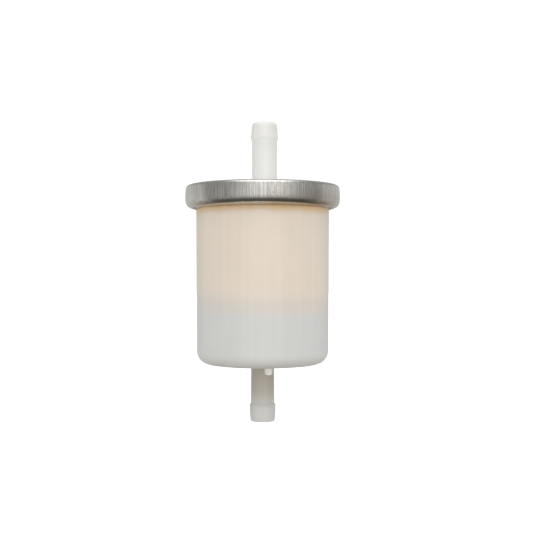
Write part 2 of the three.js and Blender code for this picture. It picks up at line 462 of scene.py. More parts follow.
@dataclass(frozen=True)
class TinnedSteel(Finish):
    """Tin-coated sheet with roll marks that run across the ring's band, and painted shade along the skirt's
    lower edge and at its two sides.
    """

    name: ClassVar[str] = "tinned_steel"
    bright: Colour = (0.85, 0.84, 0.792)
    dull: Colour = (0.55, 0.54, 0.497)
    smudge: Colour = (0.55, 0.5, 0.42)
    # Dark brown for the specks, and for the painted shade along the skirt's bottom edge.
    stain_and_shade: Colour = (0.16, 0.09, 0.05)
    tarnish: Colour = (0.46, 0.39, 0.31)
    # Painted shadow: near-black, non-metal colour at the two sides where the skirt meets the cup.
    painted_side_shadow: Colour = (0.06, 0.03, 0.02)
    skirt_edge: float = 21.3 * MM
    band: Span = (28 * MM, 23.5 * MM)
    top_corner: Span = (28.8 * MM, 27.6 * MM)

    def tarnished(self, x: Signal, z: Signal) -> Signal:
        """How tarnished the ring is: more low on its +X half, and most in one patch there."""
        patch = x.fade(13 * MM, 16.5 * MM) * x.fade(22.5 * MM, 19 * MM)
        return x.fade(4 * MM, 13 * MM) * z.fade(*self.band) * 0.5 + patch * 0.22

    def paint(self, graph: Graph) -> None:
        """Fills the material's graph."""
        place = graph.place()
        x, _, z = graph.axes(place)
        above = z - self.skirt_edge
        across = graph.stretched(place, (1, 1, 0.012))
        rolled = graph.noise(across, 0.36 * MM, 2, 0.6) * 0.9 + graph.noise(across, 1.7 * MM, 2) * 0.1
        marks = rolled.fade(0.33, 0.67)
        mottle = graph.noise(place, 1.1 * MM, 3, 0.6)
        patches = graph.noise(graph.stretched(place, (1, 1, 0.4)), 9 * MM, 2)
        specks = graph.cells(place, 2.6 * MM).fade(0.16, 0.08) * graph.noise(place, 5 * MM).fade(0.52, 0.6)
        # Darker towards the skirt's bottom edge: partly painted shade where it meets the cup, partly brown
        # residue.
        edge_shade_and_residue = (above + (mottle - 0.5) * (0.8 * MM)).fade(1.2 * MM, 0.2 * MM)
        # Painted shadow at the two sides where the skirt meets the cup.
        painted_side_shadow = abs(x).fade(21.9 * MM, 22.4 * MM) * above.fade(0.5 * MM, 0.25 * MM)
        tone = graph.blend(marks * 0.86 + mottle.fade(0.35, 0.7) * 0.14, self.dull, self.bright)
        tone = graph.blend(patches.fade(0.5, 0.72) * 0.6, tone, self.smudge)
        tone = graph.blend(self.tarnished(x, z), tone, self.tarnish)
        tone = graph.blend((specks + edge_shade_and_residue * 0.3).clamp() * 0.8, tone, self.stain_and_shade)
        tone = graph.blend(painted_side_shadow * 0.95, tone, self.painted_side_shadow)
        graph.surface(
            Base_Color=tone,
            Metallic=1.0 - painted_side_shadow * 0.95,
            Roughness=0.245 - marks * 0.04 + patches * 0.02,
            Normal=graph.relief((rolled + mottle * 0.1) * z.fade(*self.top_corner), 0.004 * MM),
        )


@dataclass(frozen=True)
class Rubber(Finish):
    """Matt black nitrile rubber."""

    name: ClassVar[str] = "nitrile_rubber"
    body: Colour = (0.022, 0.02, 0.019)
    dust: Colour = (0.09, 0.085, 0.08)

    def paint(self, graph: Graph) -> None:
        """Fills the material's graph."""
        place = graph.place()
        grain = graph.noise(place, 0.3 * MM, 3)
        dust = graph.noise(place, 3 * MM, 2).fade(0.45, 0.75)
        graph.surface(
            Base_Color=graph.blend(dust * 0.2, self.body, self.dust),
            Roughness=0.7 + (grain - 0.5) * 0.2,
            Normal=graph.relief(grain, 0.03 * MM),
        )


@dataclass(frozen=True)
class FilterPaper(Finish):
    """Resin-treated paper with its fibres showing."""

    name: ClassVar[str] = "filter_paper"
    body: Colour = (0.74, 0.56, 0.33)
    fibre: Colour = (0.83, 0.68, 0.46)

    def paint(self, graph: Graph) -> None:
        """Fills the material's graph."""
        place = graph.place()
        fibres = graph.noise(graph.stretched(place, (1, 1, 0.3)), 0.35 * MM, 4, 0.7)
        cloud = graph.noise(place, 4 * MM, 2)
        graph.surface(
            Base_Color=graph.blend((fibres * 0.7 + cloud * 0.3).fade(0.38, 0.62), self.body, self.fibre),
            Roughness=0.92 + (cloud - 0.5) * 0.1,
            Normal=graph.relief(fibres, 0.05 * MM),
        )


@dataclass(frozen=True)
class SeamTape(Finish):
    """Woven tape over the sheet's joint."""

    name: ClassVar[str] = "seam_tape"
    body: Colour = (0.48, 0.24, 0.16)
    thread: Colour = (0.62, 0.4, 0.3)
    thread_pitch: float = 0.7 * MM

    def paint(self, graph: Graph) -> None:
        """Fills the material's graph."""
        place = graph.place()
        _, _, z = graph.axes(place)
        weft = (z * (TURN / self.thread_pitch)).sine() * 0.5 + 0.5
        grain = graph.noise(place, 0.4 * MM, 2)
        graph.surface(
            Base_Color=graph.blend(weft * 0.4 + grain * 0.3, self.body, self.thread),
            Roughness=0.8 + (grain - 0.5) * 0.2,
            Normal=graph.relief(weft * 0.7 + grain * 0.3, 0.05 * MM),
        )


@dataclass(frozen=True)
class Adhesive(Finish):
    """Cured amber adhesive with a faint cloudiness."""

    name: ClassVar[str] = "amber_adhesive"
    body: Colour = (0.56, 0.27, 0.06)
    cloudy: Colour = (0.68, 0.4, 0.14)

    def paint(self, graph: Graph) -> None:
        """Fills the material's graph."""
        cloud = graph.noise(graph.place(), 2.5 * MM, 3)
        graph.surface(
            Base_Color=graph.blend(cloud.fade(0.35, 0.7), self.body, self.cloudy),
            Roughness=0.32 + (cloud - 0.5) * 0.2,
            Normal=graph.relief(cloud, 0.08 * MM),
        )


@dataclass(frozen=True)
class FibreBoard(Finish):
    """Pressed board of the element's two ends."""

    name: ClassVar[str] = "fibre_board"
    body: Colour = (0.56, 0.42, 0.24)
    fibre: Colour = (0.72, 0.58, 0.38)

    def paint(self, graph: Graph) -> None:
        """Fills the material's graph."""
        fibres = graph.noise(graph.stretched(graph.place(), (1, 0.35, 1)), 0.5 * MM, 4, 0.7)
        graph.surface(
            Base_Color=graph.blend(fibres.fade(0.36, 0.64), self.body, self.fibre),
            Roughness=0.88 + (fibres - 0.5) * 0.15,
            Normal=graph.relief(fibres, 0.05 * MM),
        )


@dataclass(frozen=True)
class WhiteNylon(Finish):
    """Opaque white nylon of the core."""

    name: ClassVar[str] = "white_nylon"
    body: Colour = (0.72, 0.7, 0.64)
    pale: Colour = (0.8, 0.79, 0.75)

    def paint(self, graph: Graph) -> None:
        """Fills the material's graph."""
        place = graph.place()
        cloud = graph.noise(place, 3 * MM, 2)
        graph.surface(
            Base_Color=graph.blend(cloud.fade(0.35, 0.7), self.body, self.pale),
            Roughness=0.5 + (cloud - 0.5) * 0.2,
            Normal=graph.relief(graph.noise(place, 0.3 * MM, 2), 0.02 * MM),
        )


# --------------------------------------------------------------------------------------------------
# Modelling
# --------------------------------------------------------------------------------------------------


@dataclass(frozen=True)
class Corner:
    """A corner of an outline in millimetres, with the radius that it is rounded to."""

    radius: float
    height: float
    fillet: float = 0.0


def rounded(corners: Sequence[Corner], step: float = math.radians(15)) -> list[Point]:
    """Works out a closed outline's points.

    Args:
        corners: The outline's corners, in order.
        step: The largest turn between two points of a fillet.

    Returns:
        Radius and height of each point, in metres.
    """
    points: list[Point] = []
    count = len(corners)
    for i, corner in enumerate(corners):
        here = Vector((corner.radius, corner.height))
        before = corners[i - 1]
        after = corners[(i + 1) % count]
        back = (Vector((before.radius, before.height)) - here).normalized()
        on = (Vector((after.radius, after.height)) - here).normalized()
        opening = back.angle(on)
        if corner.fillet <= 0 or math.pi - opening < math.radians(2):
            points.append(tuple(here * MM))
            continue
        centre = here + (back + on).normalized() * corner.fillet / math.sin(opening / 2)
        reach = corner.fillet / math.tan(opening / 2)
        first = here + back * reach - centre
        turn = first.angle_signed(here + on * reach - centre)
        steps = max(2, math.ceil(abs(turn) / step))
        for k in range(steps + 1):
            angle = -turn * k / steps
            spoke = Vector((
                first.x * math.cos(angle) - first.y * math.sin(angle),
                first.x * math.sin(angle) + first.y * math.cos(angle),
            ))
            points.append(tuple((centre + spoke) * MM))
    return points


def sheet_outline(outside: Sequence[Corner], thickness: float) -> list[Corner]:
    """Gives a bent sheet its thickness.

    Args:
        outside: Corners of the sheet's outer face from one edge to the other, in millimetres, with the
            sheet's inner face on their left.
        thickness: The sheet's thickness.

    Returns:
        Corners of the closed outline: the outer face, then the inner face back to the start.
    """
    spots = [Vector((corner.radius, corner.height)) for corner in outside]
    ways = [(after - before).normalized() for before, after in zip(spots, spots[1:])]
    sides = [Vector((-way.y, way.x)) for way in ways]
    inside = []
    for i, (spot, corner) in enumerate(zip(spots, outside)):
        before, after = sides[max(i - 1, 0)], sides[min(i, len(sides) - 1)]
        middle = (before + after).normalized()
        moved = spot + middle * thickness / middle.dot(after)
        inside.append(Corner(moved.x, moved.y, max(corner.fillet - thickness, 0.1)))
    return [*outside, *reversed(inside)]


class Bench:
    """Modelling steps on the object in hand, each done with Blender's own tools."""

    @staticmethod
    def clear() -> None:
        """Leaves edit mode and lets go of everything."""
        if bpy.context.object and bpy.context.object.mode != "OBJECT":
            bpy.ops.object.mode_set(mode="OBJECT")
        bpy.ops.object.select_all(action="DESELECT")

    @staticmethod
    def take(piece: bpy.types.Object) -> bpy.types.Object:
        """Takes one object in hand, and nothing else.

        Args:
            piece: The object.

        Returns:
            The same object.
        """
        Bench.clear()
        piece.select_set(True)
        bpy.context.view_layer.objects.active = piece
        return piece

    @staticmethod
    def started(name: str) -> bpy.types.Object:
        """Names the primitive just added.

        Args:
            name: The name of the object and its mesh.

        Returns:
            The object.
        """
        piece = bpy.context.object
        piece.name = name
        piece.data.name = name
        return piece

    @staticmethod
    def edit() -> None:
        """Opens the object in hand in edit mode, with all its vertices selected."""
        bpy.ops.object.mode_set(mode="EDIT")
        bpy.ops.mesh.select_mode(type="VERT")
        bpy.ops.mesh.select_all(action="SELECT")

    @staticmethod
    def done(piece: bpy.types.Object, sharp: float = 32.0) -> bpy.types.Object:
        """Leaves edit mode, moves the place into the mesh and shades it smooth.

        Args:
            piece: The object.
            sharp: Edges that turn by more than this many degrees stay sharp.

        Returns:
            The same object.
        """
        Bench.take(piece)
        bpy.ops.object.transform_apply(location=True, rotation=True, scale=True)
        bpy.ops.object.shade_smooth_by_angle(angle=math.radians(sharp))
        return piece

    @staticmethod
    def pick_vertices(piece: bpy.types.Object, test: Callable[[Vector], bool]) -> int:
        """Selects the vertices whose place passes a test, in edit mode.

        Args:
            piece: The object being edited.
            test: The test on a vertex's place.

        Returns:
            How many vertices are selected.
        """
        bpy.ops.mesh.select_mode(type="VERT")
        mesh = bmesh.from_edit_mesh(piece.data)
        for vertex in mesh.verts:
            vertex.select = bool(test(vertex.co))
        mesh.select_flush_mode()
        bmesh.update_edit_mesh(piece.data)
        return sum(vertex.select for vertex in mesh.verts)

    @staticmethod
    def pick_faces(piece: bpy.types.Object, test: Callable[[Vector, Vector], bool]) -> int:
        """Selects the faces whose middle and normal pass a test, in edit mode.

        Args:
            piece: The object being edited.
            test: The test on a face's middle and normal.

        Returns:
            How many faces are selected.
        """
        bpy.ops.mesh.select_mode(type="FACE")
        mesh = bmesh.from_edit_mesh(piece.data)
        for face in mesh.faces:
            face.select = bool(test(face.calc_center_median(), face.normal))
        mesh.select_flush_mode()
        bmesh.update_edit_mesh(piece.data)
        return sum(face.select for face in mesh.faces)

    @staticmethod
    def pick_edges(piece: bpy.types.Object, test: Callable[[Vector, Vector], bool]) -> int:
        """Selects the edges whose two ends pass a test, in edit mode.

        Args:
            piece: The object being edited.
            test: The test on the places of an edge's ends.

        Returns:
            How many edges are selected.
        """
        bpy.ops.mesh.select_all(action="DESELECT")
        bpy.ops.mesh.select_mode(type="EDGE")
        mesh = bmesh.from_edit_mesh(piece.data)
        for edge in mesh.edges:
            edge.select = bool(test(edge.verts[0].co, edge.verts[1].co))
        mesh.select_flush_mode()
        bmesh.update_edit_mesh(piece.data)
        return sum(edge.select for edge in mesh.edges)

    @staticmethod
    def close_up() -> None:
        """Merges doubles and turns all faces outwards, in edit mode."""
        bpy.ops.mesh.select_all(action="SELECT")
        bpy.ops.mesh.remove_doubles(threshold=0.002 * MM)
        bpy.ops.mesh.normals_make_consistent(inside=False)

    @staticmethod
    def modify(piece: bpy.types.Object, kind: str, **settings: object) -> None:
        """Adds a modifier and applies it.

        Args:
            piece: The object.
            kind: The modifier's type.
            settings: Its properties.
        """
        Bench.take(piece)
        added = piece.modifiers.new(kind.lower(), kind)
        for name, value in settings.items():
            setattr(added, name, value)
        bpy.ops.object.modifier_apply(modifier=added.name)

    @staticmethod
    def waver(piece: bpy.types.Object, depth: float, size: float, test: Callable[[Vector], bool]) -> None:
        """Makes part of a piece slightly uneven.

        Args:
            piece: The object.
            depth: How far its surface moves in and out in all, in metres.
            size: How long the waves are, in metres.
            test: The test on the place of a vertex that moves.
        """
        group = piece.vertex_groups.new(name="uneven")
        group.add([v.index for v in piece.data.vertices if test(v.co)], 1.0, "REPLACE")
        clouds = bpy.data.textures.new("uneven", "CLOUDS")
        clouds.noise_scale = size
        Bench.modify(
            piece, "DISPLACE", texture=clouds, texture_coords="LOCAL", strength=depth, mid_level=0.5,
            vertex_group="uneven",
        )
        piece.vertex_groups.clear()

    @staticmethod
    def drawn(name: str, path: Sequence[Place]) -> bpy.types.Object:
        """Draws a line from point to point by extruding a single vertex.

        Args:
            name: The piece's name.
            path: The line's points, in metres.

        Returns:
            The piece, in edit mode.
        """
        Bench.clear()
        bpy.ops.mesh.primitive_plane_add(size=1 * MM, location=path[0])
        piece = Bench.started(name)
        Bench.edit()
        bpy.ops.mesh.merge(type="CENTER")
        for here, there in zip(path, path[1:]):
            step = tuple(after - before for before, after in zip(here, there))
            bpy.ops.mesh.extrude_region_move(TRANSFORM_OT_translate={"value": step})
        return piece

    @staticmethod
    def turned(name: str, points: Sequence[Point], steps: int = 160) -> bpy.types.Object:
        """Draws a closed outline point by point and spins it round the axis.

        Args:
            name: The piece's name.
            points: Radius and height of each point, in metres. An outline that starts and ends on the axis
                closes there.
            steps: How many steps the spin takes.

        Returns:
            The piece, out of edit mode.
        """
        on_axis = max(points[0][0], points[-1][0]) < 1e-6
        path = [(radius, 0.0, height) for radius, height in (points if on_axis else [*points, points[0]])]
        piece = Bench.drawn(name, path)
        bpy.ops.mesh.select_all(action="SELECT")
        bpy.ops.mesh.spin(steps=steps, angle=TURN, center=(0, 0, 0), axis=(0, 0, 1))
        Bench.close_up()
        return Bench.done(piece)


def show(piece: bpy.types.Object, finish: Finish, slot: Slot, *nodes: str) -> bpy.types.Object:
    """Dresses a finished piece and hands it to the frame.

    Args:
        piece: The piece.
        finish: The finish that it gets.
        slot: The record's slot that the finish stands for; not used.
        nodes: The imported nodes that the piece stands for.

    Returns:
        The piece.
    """
    piece.data.materials.clear()
    piece.data.materials.append(finish.material())
    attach(piece, BODY)
    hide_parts(*nodes)
    log.info("%s: %d faces, stands for %s", piece.name, len(piece.data.polygons), ", ".join(nodes))
    return piece


@dataclass
class Cup:
    """Cup with its rim, inlet nipple and the stub that the gate leaves. Sizes are in millimetres."""

    top_radius: float = 22.78
    base_radius: float = 22.5
    floor: float = -31.5
    corner: float = 4.4
    wall: float = 1.5
    base: float = 1.8
    rim_radius: float = 25.7
    rim_top: float = 25.2
    rim_root: float = 22.08
    rim_underside: float = 23.76
    seat_radius: float = 23.05
    seat_depth: float = 0.65
    bore: float = 2.9
    stub_place: tuple[float, float] = (2.0, -9.5)
    stub_radius: float = 1.45
    stub_length: float = 3.0
    finish: CupNylon = field(default_factory=CupNylon)

    def nipple(self) -> list[Corner]:
        """Corners of the nipple's outside, from its end up to its root."""
        end = -HALF_LENGTH / MM
        return [
            Corner(self.bore, end, 0.12),
            Corner(4.12, end, 0.3),
            Corner(4.2, end + 0.8, 0.6),
            Corner(4.38, end + 2.2, 1.5),
            Corner(4.45, end + 5.2, 0.5),
            Corner(4.42, end + 5.78, 0.12),
            Corner(4.08, end + 5.85, 0.1),
            Corner(3.93, self.floor, 0.9),
        ]

    def build(self) -> bpy.types.Object:
        """Builds the moulding.

        Returns:
            The piece.
        """
        inner = self.top_radius - self.wall
        shell = Bench.turned("filter_cup", rounded([
            *self.nipple(),
            Corner(self.base_radius, self.floor, self.corner),
            Corner(self.top_radius, self.rim_root, 0.3),
            Corner(self.rim_radius, self.rim_underside, 0.3),
            Corner(self.rim_radius, self.rim_top, 0.3),
            Corner(self.seat_radius, self.rim_top, 0.15),
            Corner(self.seat_radius, self.rim_top - self.seat_depth, 0.1),
            Corner(inner, self.rim_top - self.seat_depth, 0.2),
            Corner(self.base_radius - self.wall, self.floor + self.base, self.corner - self.wall),
            Corner(self.bore, self.floor + self.base, 0.4),
        ]))
        Bench.modify(shell, "BOOLEAN", operation="UNION", solver="EXACT", object=self.stub())
        bpy.data.objects.remove(bpy.data.objects["gate_stub"])
        return Bench.done(shell)

    def stub(self) -> bpy.types.Object:
        """Builds the gate stub: a short peg with a soft, slightly torn end.

        Returns:
            The stub as a closed solid, sunk half way into the cup's base.
        """
        Bench.clear()
        x, y = (value * MM for value in self.stub_place)
        sunk = self.base / 2
        middle = (self.floor + sunk - (self.stub_length + sunk) / 2) * MM
        depth = (self.stub_length + sunk) * MM
        bpy.ops.mesh.primitive_cylinder_add(
            vertices=40, radius=self.stub_radius * MM, depth=depth, location=(x, y, middle)
        )
        piece = Bench.started("gate_stub")
        Bench.edit()
        Bench.pick_faces(piece, lambda middle, normal: normal.z < -0.9)
        bpy.ops.transform.resize(value=(0.9, 0.9, 1), center_override=(x, y, middle))
        bpy.ops.mesh.inset(thickness=0.45 * MM, depth=0)
        bpy.ops.mesh.inset(thickness=0.4 * MM, depth=-0.12 * MM)
        Bench.pick_vertices(piece, lambda place: place.z < -1.0 * MM and place.to_2d().length > 1.1 * MM)
        bpy.ops.transform.translate(value=(0, 0, 0.35 * MM))
        bpy.ops.mesh.select_all(action="SELECT")
        Bench.close_up()
        return Bench.done(piece)

    def dress(self) -> bpy.types.Object:
        """Builds, finishes and places the cup."""
        return show(self.build(), self.finish, Slot.NYLON, "cup")


@dataclass
class Lid:
    """Lid with its rim, raised disc, hub, spigot and outlet nipple. Sizes are in millimetres."""

    rim_radius: float = 25.7
    rim_top: float = 28.8
    rim_bottom: float = 26.9
    disc_radius: float = 21.7
    disc_top: float = 29.4
    hub_radius: float = 7.0
    hub_top: float = 31.0
    recess: tuple[float, float] = (9.5, 19.5)
    recess_depth: float = 0.9
    spigot_radius: float = 4.6
    spigot_bottom: float = 20.6
    bore: float = 3.0
    nipple_shift: float = 0.65
    finish: LidNylon = field(default_factory=LidNylon)

    def nipple(self) -> list[Corner]:
        """Corners of the nipple's outside, from its root up to its end."""
        end = HALF_LENGTH / MM
        return [
            Corner(4.27, self.hub_top, 1.1),
            Corner(4.27, end - 6.5, 0.8),
            Corner(4.68, end - 5.2, 0.6),
            Corner(4.66, end - 4.5, 0.5),
            Corner(4.5, end - 3.6, 1.5),
            Corner(4.28, end - 1.2, 1.0),
            Corner(4.08, end, 0.9),
            Corner(self.bore, end, 0.15),
        ]

    def build(self) -> bpy.types.Object:
        """Builds the moulding.

        Returns:
            The piece.
        """
        recess_inner, recess_outer = self.recess
        recess_top = self.rim_bottom + self.recess_depth
        lid = Bench.turned("filter_lid", rounded([
            Corner(self.bore, self.spigot_bottom, 0.15),
            Corner(self.spigot_radius, self.spigot_bottom, 0.5),
            Corner(self.spigot_radius, self.rim_bottom, 0.4),
            Corner(recess_inner, self.rim_bottom, 0.2),
            Corner(recess_inner, recess_top, 0.2),
            Corner(recess_outer, recess_top, 0.2),
            Corner(recess_outer, self.rim_bottom, 0.2),
            Corner(self.rim_radius, self.rim_bottom, 0.2),
            Corner(self.rim_radius, self.rim_top, 1.0),
            Corner(self.disc_radius, self.rim_top, 0.15),
            Corner(self.disc_radius, self.disc_top, 0.25),
            Corner(self.hub_radius + 0.6, self.disc_top, 0.5),
            Corner(self.hub_radius, self.hub_top, 0.3),
            *self.nipple(),
        ]))
        Bench.edit()
        Bench.pick_vertices(lid, lambda place: place.z > (self.disc_top + 0.2) * MM)
        bpy.ops.transform.translate(value=(self.nipple_shift * MM, 0, 0))
        return Bench.done(lid)

    def dress(self) -> bpy.types.Object:
        """Builds, finishes and places the lid."""
        return show(self.build(), self.finish, Slot.NYLON, "lid")


@dataclass
class CrimpRing:
    """Steel ring rolled in over both rims. Sizes are in millimetres."""

    skirt_radius: float = 22.95
    skirt_bottom: float = 21.26
    lip_radius: float = 22.1
    top: float = 29.4
    sheet: float = 0.5
    wall: tuple[Corner, ...] = (
        Corner(26.13, 22.22, 2.3),
        Corner(26.5, 24.3, 4.5),
        Corner(26.54, 26.2, 9.0),
        Corner(26.27, 29.4, 1.15),
    )
    unevenness: float = 0.12
    finish: TinnedSteel = field(default_factory=TinnedSteel)

    def build(self) -> bpy.types.Object:
        """Builds the ring.

        Returns:
            The piece.
        """
        outside = [
            Corner(self.skirt_radius, self.skirt_bottom, 0.12),
            *self.wall,
            Corner(self.lip_radius, self.top, 0.12),
        ]
        outline = rounded(sheet_outline(outside, self.sheet), math.radians(8))
        ring = Bench.turned("steel_crimp_ring", outline, 240)
        edge = (self.skirt_bottom + 0.9) * MM
        Bench.waver(ring, self.unevenness * MM, 7 * MM, lambda place: place.z < edge)
        return Bench.done(ring)

    def dress(self) -> bpy.types.Object:
        """Builds, finishes and places the ring."""
        return show(self.build(), self.finish, Slot.STEEL, "crimp_ring")


@dataclass
class RimSeal:
    """Flat gasket between the two rims. Sizes are in millimetres."""

    inner: float = 21.5
    outer: float = 25.5
    bottom: float = 25.3
    top: float = 26.8
    finish: Rubber = field(default_factory=Rubber)

    def dress(self) -> bpy.types.Object:
        """Builds, finishes and places the gasket."""
        gasket = Bench.turned("rim_seal_gasket", rounded([
            Corner(self.outer, self.bottom, 0.3),
            Corner(self.outer, self.top, 0.3),
            Corner(self.inner, self.top, 0.3),
            Corner(self.inner, self.bottom, 0.3),
        ]))
        return show(gasket, self.finish, Slot.RUBBER, "rim_gasket")


@dataclass
class Element:
    """Filter element: pleated paper round a cage, between a plate and a dish. Sizes are in millimetres."""

    plate_radius: float = 22.8
    plate: tuple[float, float] = (24.6, 25.15)
    neck: tuple[float, float] = (5.6, 6.1)
    neck_bottom: float = 22.4
    seal: tuple[float, float] = (4.7, 5.5)
    seal_flange: float = 8.0
    seal_bottom: float = 22.6
    seal_top: float = 26.8
    top_potting: tuple[float, float] = (20.4, 24.5)
    potting: tuple[float, float] = (6.4, 20.6)
    dish_radius: float = 20.2
    dish: tuple[float, float] = (-12.0, -10.1)
    sheet: float = 0.6
    dish_potting: tuple[float, float] = (-11.3, -10.12)
    paper: tuple[float, float] = (-10.0, 20.3)
    pleats: int = 40
    pleat_reach: tuple[float, float] = (9.2, 20.1)
    paper_thickness: float = 0.36
    fold: float = 0.42
    strip_pleat: int = 14
    strip_width: float = 2.1
    strip_depth: float = 2.5
    strip_thickness: float = 0.3
    cage: tuple[float, float] = (7.1, 7.7)
    cage_rows: int = 5
    cage_columns: int = 6
    window: tuple[float, float] = (math.radians(35), 4.0)

    def build_plate(self) -> bpy.types.Object:
        """Builds the top plate with its turned-down neck."""
        bottom, top = self.plate
        neck_inner, neck_outer = self.neck
        return Bench.turned("element_top_plate", rounded([
            Corner(neck_outer, self.neck_bottom, 0.2),
            Corner(neck_outer, bottom, 0.5),
            Corner(self.plate_radius, bottom, 0.2),
            Corner(self.plate_radius, top, 0.2),
            Corner(neck_inner, top, 0.25),
            Corner(neck_inner, self.neck_bottom, 0.2),
        ]))

    def build_seal(self) -> bpy.types.Object:
        """Builds the grommet, with a groove that lets its flange give."""
        inner, outer = self.seal
        flange_bottom = self.plate[1] + 0.1
        return Bench.turned("outlet_grommet", rounded([
            Corner(outer, self.seal_bottom, 0.3),
            Corner(outer, flange_bottom, 0.15),
            Corner(self.seal_flange, flange_bottom, 0.4),
            Corner(self.seal_flange, self.seal_top, 0.5),
            Corner(6.9, self.seal_top, 0.2),
            Corner(6.6, self.seal_top - 0.5, 0.2),
            Corner(6.2, self.seal_top - 0.5, 0.2),
            Corner(5.9, self.seal_top, 0.2),
            Corner(inner, self.seal_top, 0.3),
            Corner(inner, self.seal_bottom, 0.2),
        ]))

    def build_top_potting(self) -> bpy.types.Object:
        """Builds the adhesive that holds the pleats' upper ends, with a wavy free edge."""
        bottom, top = self.top_potting
        inner, outer = self.potting
        ring = Bench.turned("top_potting_ring", rounded([
            Corner(outer, bottom, 0.9),
            Corner(outer, top, 0.5),
            Corner(inner, top, 0.2),
            Corner(inner, bottom, 0.6),
        ]))
        Bench.waver(ring, 0.12 * MM, 4 * MM, lambda place: place.z < (bottom + 1.2) * MM)
        return Bench.done(ring)

    def build_dish_potting(self) -> bpy.types.Object:
        """Builds the layer of adhesive in the dish."""
        bottom, top = self.dish_potting
        radius = self.dish_radius - self.sheet - 0.1
        return Bench.turned("dish_potting", rounded([
            Corner(0, bottom),
            Corner(radius, bottom, 0.3),
            Corner(radius, top, 0.12),
            Corner(radius - 1.2, top - 0.25, 1.0),
            Corner(0, top - 0.25),
        ]))

    def build_dish(self) -> bpy.types.Object:
        """Builds the closed dish under the pleats."""
        bottom, top = self.dish
        inner = self.dish_radius - self.sheet
        return Bench.turned("element_dish", rounded([
            Corner(0, bottom),
            Corner(self.dish_radius, bottom, 0.7),
            Corner(self.dish_radius, top, 0.2),
            Corner(inner, top, 0.2),
            Corner(inner, bottom + self.sheet, 0.12),
            Corner(0, bottom + self.sheet),
        ]))

    def build_paper(self) -> bpy.types.Object:
        """Folds the paper: a ring of straight flanks, rounded at each fold and given its thickness."""
        inner, outer = (reach * MM for reach in self.pleat_reach)
        half = self.paper_thickness / 2 * MM
        bottom, top = (height * MM for height in self.paper)
        pitch = TURN / self.pleats
        Bench.clear()
        bpy.ops.mesh.primitive_circle_add(
            vertices=2 * self.pleats, radius=outer - half, location=(0, 0, bottom)
        )
        piece = Bench.started("pleated_paper")
        Bench.edit()
        Bench.pick_vertices(piece, lambda place: round(2 * math.atan2(place.y, place.x) / pitch) % 2 == 1)
        ratio = (inner + half) / (outer - half)
        bpy.ops.transform.resize(value=(ratio, ratio, 1), center_override=(0, 0, bottom))
        bpy.ops.mesh.select_all(action="SELECT")
        bpy.ops.mesh.extrude_region_move(TRANSFORM_OT_translate={"value": (0, 0, top - bottom)})
        Bench.pick_edges(piece, lambda one, other: abs(one.z - other.z) > 1 * MM)
        bpy.ops.mesh.bevel(offset=self.fold * MM, segments=4, affect="EDGES")
        Bench.close_up()
        Bench.modify(piece, "SOLIDIFY", thickness=self.paper_thickness * MM, offset=0)
        Bench.edit()
        Bench.close_up()
        return Bench.done(piece)

    def build_strip(self) -> bpy.types.Object:
        """Builds the channel of tape over the tip of one pleat."""
        thick = self.strip_thickness
        tip = self.pleat_reach[1] + 0.1 + thick
        foot = tip - self.strip_depth
        half = self.strip_width / 2
        bottom, top = self.paper[0] + 0.5, self.paper[1] - 0.5
        inner_tip, inner_half = tip - thick, half - thick
        outline = [
            (foot, -half), (tip, -half), (tip, half), (foot, half), (foot, inner_half),
            (inner_tip, inner_half), (inner_tip, -inner_half), (foot, -inner_half), (foot, -half),
        ]
        path = [(x * MM, y * MM, bottom * MM) for x, y in outline]
        piece = Bench.drawn("seam_tape_strip", path)
        Bench.close_up()
        bpy.ops.mesh.edge_face_add()
        bpy.ops.mesh.extrude_region_move(TRANSFORM_OT_translate={"value": (0, 0, (top - bottom) * MM)})
        Bench.close_up()
        Bench.pick_edges(piece, lambda one, other: abs(one.z - other.z) > 1 * MM)
        bpy.ops.mesh.bevel(offset=0.1 * MM, segments=2, affect="EDGES")
        bpy.ops.mesh.select_all(action="SELECT")
        angle = self.strip_pleat * TURN / self.pleats
        bpy.ops.transform.rotate(value=-angle, orient_axis="Z", center_override=(0, 0, 0))
        Bench.close_up()
        return Bench.done(piece)

    def build_cage(self) -> bpy.types.Object:
        """Builds the cage: a tube in levels, with its windows cut out before it gets its thickness."""
        inner, outer = self.cage
        bottom, top = self.paper
        _, window_height = self.window
        rise = (top - bottom) / self.cage_rows
        pitch = TURN / self.cage_columns
        Bench.clear()
        bpy.ops.mesh.primitive_circle_add(vertices=144, radius=outer * MM, location=(0, 0, bottom * MM))
        piece = Bench.started("core_cage")
        Bench.edit()
        band = (rise - window_height) / 2
        for _ in range(self.cage_rows):
            for step in (band, window_height, band):
                bpy.ops.mesh.extrude_region_move(TRANSFORM_OT_translate={"value": (0, 0, step * MM)})
        Bench.pick_faces(piece, lambda middle, normal: self.in_window(middle, pitch, rise))
        bpy.ops.mesh.delete(type="FACE")
        bpy.ops.mesh.select_all(action="SELECT")
        bpy.ops.mesh.normals_make_consistent(inside=False)
        Bench.modify(piece, "SOLIDIFY", thickness=(outer - inner) * MM, offset=-1)
        Bench.modify(
            piece, "BEVEL", width=0.12 * MM, segments=2, limit_method="ANGLE", angle_limit=math.radians(40)
        )
        Bench.edit()
        Bench.close_up()
        return Bench.done(piece)

    def in_window(self, middle: Vector, pitch: float, rise: float) -> bool:
        """Says whether a place on the cage's wall lies in one of its windows.

        Args:
            middle: The place, in metres.
            pitch: The angle from one column of windows to the next.
            rise: The height of one row, in millimetres.

        Returns:
            True where there is a window.
        """
        span, window_height = self.window
        angle = math.atan2(middle.y, middle.x)
        across = abs((angle + pitch / 2) % pitch - pitch / 2)
        up = (middle.z / MM - self.paper[0]) % rise
        return across < span / 2 and abs(up - rise / 2) < window_height / 2

